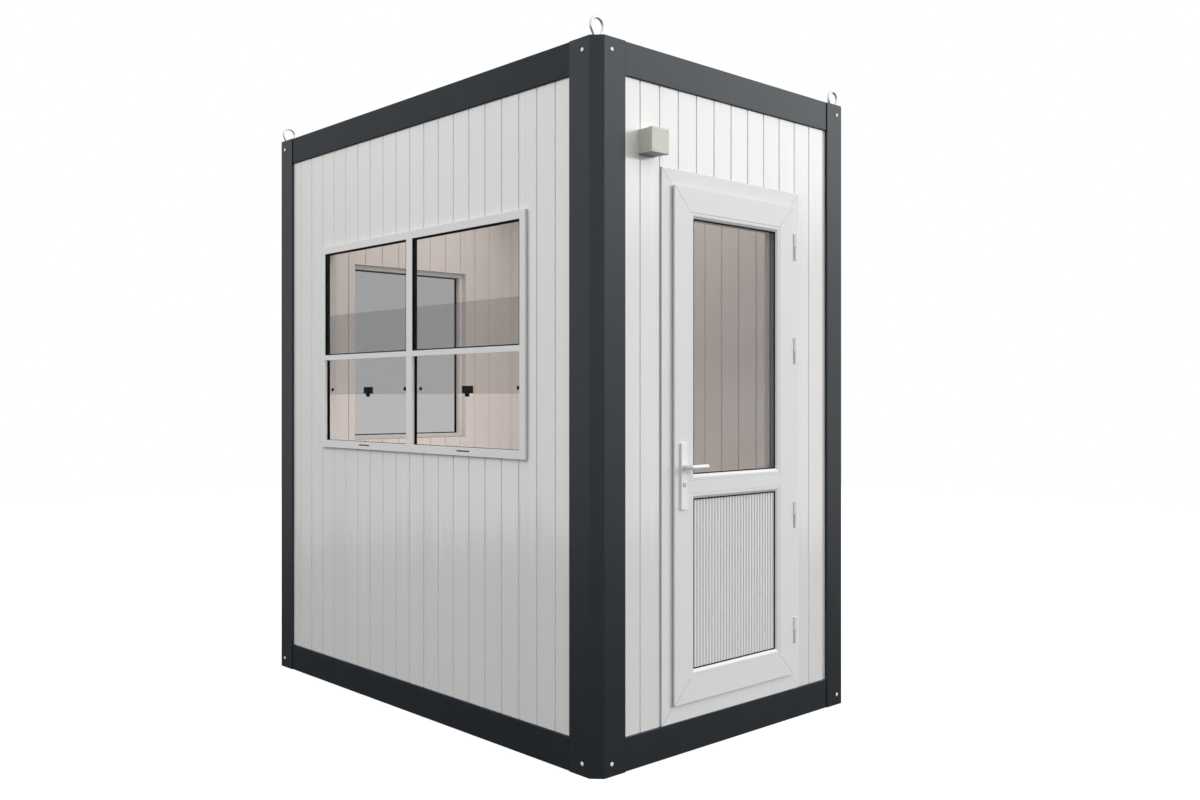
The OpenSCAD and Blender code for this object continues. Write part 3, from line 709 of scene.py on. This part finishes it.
def box_screws():
    """Slotted lid screws of the junction box, with a dark strip on each head as painted shade in its slot.
    """
    low, high, d = box_on(on_front, "junction_box_lid")
    head = ((0.0040, -0.001), (0.0040, 0.0003), (0.0034, 0.0007), (0.0002, 0.0008))
    inset = 0.011
    across = Vector((0.0024, 0, 0.0024))
    lift = outward(on_front) * 0.0007
    screws = Shape()
    slot_shades = Shape()
    for u in (low[0] + inset, high[0] - inset):
        for z in (low[1] + inset, high[1] - inset):
            centre = on_front(u, d, z)
            screws.lathe(centre, outward(on_front), head)
            # Dark strips across the heads: painted shade in the slot of each screw.
            slot_shades.strip(centre - across + lift, centre + across + lift, outward(on_front), 0.0009, 0.0002)
    screws.make("box_screws", finishes["box_plastic"], "cabin")
    slot_shades.make("box_screw_slot_shades", JOINT_SHADE, "cabin")


post_plugs()
mitres()
sealant_and_shade_beads()
seam_shade_strips()
window_seals_and_slot_shade()
pane_fittings()
corner_trims()
eye_welds()
roof_screws()
handle_details()
box_screws()


# Camera at the photograph's place: level, with the frame shifted instead of tilted

def set_camera():
    camera_data = bpy.data.cameras.new("camera")
    camera_data.sensor_width = 36.0
    camera_data.lens = 33.413
    camera_data.shift_x = 0.0333
    camera_data.shift_y = -0.00246
    camera_data.clip_end = 300.0
    camera = bpy.data.objects.new("camera", camera_data)
    bpy.context.scene.collection.objects.link(camera)
    forward = Vector((0.6704, 0.7420, 0.0))
    camera.location = (-3.4025, -3.8807, 1.3183)
    camera.rotation_euler = forward.to_track_quat("-Z", "Y").to_euler()
    bpy.context.scene.camera = camera


# Stage and light

def shown_to_camera_only(obj, shadow=False):
    obj.visible_diffuse = False
    obj.visible_glossy = False
    obj.visible_transmission = False
    obj.visible_volume_scatter = False
    obj.visible_shadow = shadow


def stage_plane(name, size, z):
    mesh = bpy.data.meshes.new(name)
    half = size / 2
    corners = [(-half, -half, z), (half, -half, z), (half, half, z), (-half, half, z)]
    mesh.from_pydata(corners, [], [(0, 1, 2, 3)])
    obj = bpy.data.objects.new(name, mesh)
    bpy.context.scene.collection.objects.link(obj)
    return obj


def set_stage():
    """A pale floor that fades into a white surround."""
    floor = stage_plane("floor", 22.0, -0.0005)
    made, tree, shader = new_material("floor", Roughness=0.9, Specular_IOR_Level=0.0, Emission_Strength=0.72)
    shader.inputs["Emission Color"].default_value = (1.0, 1.0, 1.0, 1.0)
    tree.links.new(mottled(tree, (0.42, 0.42, 0.42), 0.01, 1), shader.inputs["Base Color"])
    floor.data.materials.append(made)
    shown_to_camera_only(floor, shadow=True)

    mesh = bpy.data.meshes.new("surround")
    count = 48
    radius = 70.0
    points = []
    faces = []
    for row in range(count // 2 + 1):
        polar = math.pi * row / (count // 2)
        ring = radius * math.sin(polar)
        for column in range(count):
            turn = math.tau * column / count
            points.append((ring * math.cos(turn), ring * math.sin(turn), radius * math.cos(polar)))
    for row in range(count // 2):
        for column in range(count):
            after = (column + 1) % count
            faces.append((row * count + column, row * count + after, (row + 1) * count + after,
                          (row + 1) * count + column))
    mesh.from_pydata(points, [], faces)
    surround = bpy.data.objects.new("surround", mesh)
    bpy.context.scene.collection.objects.link(surround)
    white, _, shader = new_material("surround", Base_Color=(0, 0, 0, 1), Specular_IOR_Level=0.0,
                                    Emission_Strength=1.0)
    shader.inputs["Emission Color"].default_value = (1.0, 1.0, 1.0, 1.0)
    mesh.materials.append(white)
    shown_to_camera_only(surround)


def facing(tree, direction, aim):
    """How far a direction points the way of aim, from -1 to 1."""
    made = add_node(tree, "ShaderNodeVectorMath", {"operation": "DOT_PRODUCT"})
    tree.links.new(direction, made.inputs[0])
    made.inputs[1].default_value = aim
    return made.outputs["Value"]


def smooth_step(tree, source, low, high, **ends):
    made = add_node(tree, "ShaderNodeMapRange", {"interpolation_type": "SMOOTHSTEP"}, From_Min=low,
                    From_Max=high, **ends)
    tree.links.new(source, made.inputs["Value"])
    return made.outputs[0]


def set_world():
    """Even pale surroundings: brighter to the front right, dimmer behind, dark towards the ground."""
    world = bpy.data.worlds.new("studio")
    world.use_nodes = True
    tree = world.node_tree
    place = add_node(tree, "ShaderNodeTexCoord")
    direction = place.outputs["Generated"]
    parts = add_node(tree, "ShaderNodeSeparateXYZ")
    tree.links.new(direction, parts.inputs[0])
    height = add_node(tree, "ShaderNodeMapRange", From_Min=-0.35, From_Max=0.35)
    tree.links.new(parts.outputs[2], height.inputs["Value"])
    color = ramp(tree, height.outputs[0], (0.0, (0.02, 0.02, 0.02)), (0.20, (0.06, 0.06, 0.06)),
                 (0.305, (0.11, 0.11, 0.11)), (0.345, (0.86, 0.86, 0.87)), (0.55, (0.94, 0.94, 0.95)),
                 (1.0, (0.96, 0.96, 0.97)))
    across = smooth_step(tree, facing(tree, direction, (0.75, -0.66, 0.0)), 0.50, 0.80)
    above = smooth_step(tree, parts.outputs[2], 0.11, 0.20)
    boost = add_node(tree, "ShaderNodeMapRange", To_Min=1.0, To_Max=2.4)
    tree.links.new(product(tree, across, above), boost.inputs["Value"])
    rear = facing(tree, direction, (-0.30, 0.954, 0.0))
    dim = smooth_step(tree, rear, 0.92, 0.985, To_Min=1.0, To_Max=0.5)
    strength = product(tree, boost.outputs[0], dim)
    back = tree.nodes["Background"]
    tree.links.new(color, back.inputs["Color"])
    tree.links.new(strength, back.inputs["Strength"])
    bpy.context.scene.world = world


def area_light(name, place, target, size, power, color=(1, 1, 1), mirrored=True):
    data = bpy.data.lights.new(name, "AREA")
    data.shape = "RECTANGLE"
    data.size, data.size_y = size
    data.energy = power
    data.color = color
    light = bpy.data.objects.new(name, data)
    bpy.context.scene.collection.objects.link(light)
    light.location = place
    light.rotation_euler = (Vector(target) - Vector(place)).to_track_quat("-Z", "Y").to_euler()
    light.visible_camera = False
    light.visible_glossy = mirrored


def set_lights():
    area_light("key", (6.6, -7.6, 3.6), (0.0, -1.1, 1.9), (2.4, 2.4), 285, mirrored=False)
    area_light("side", (-5.3, 0.9, 4.9), (-0.7, 0.2, 1.6), (2.6, 2.6), 112, mirrored=False)
    area_light("ceiling", (0.0, 0.0, 2.42), (0.0, 0.0, 0.0), (1.1, 1.8), 12.0, (1.0, 0.98, 0.96))
    area_light("floor", (0.0, 0.0, 0.16), (0.0, 0.0, 2.0), (1.1, 1.8), 9.5, (1.0, 0.98, 0.96))


set_camera()
set_stage()
set_world()
set_lights()
bpy.context.scene.view_settings.view_transform = "Standard"
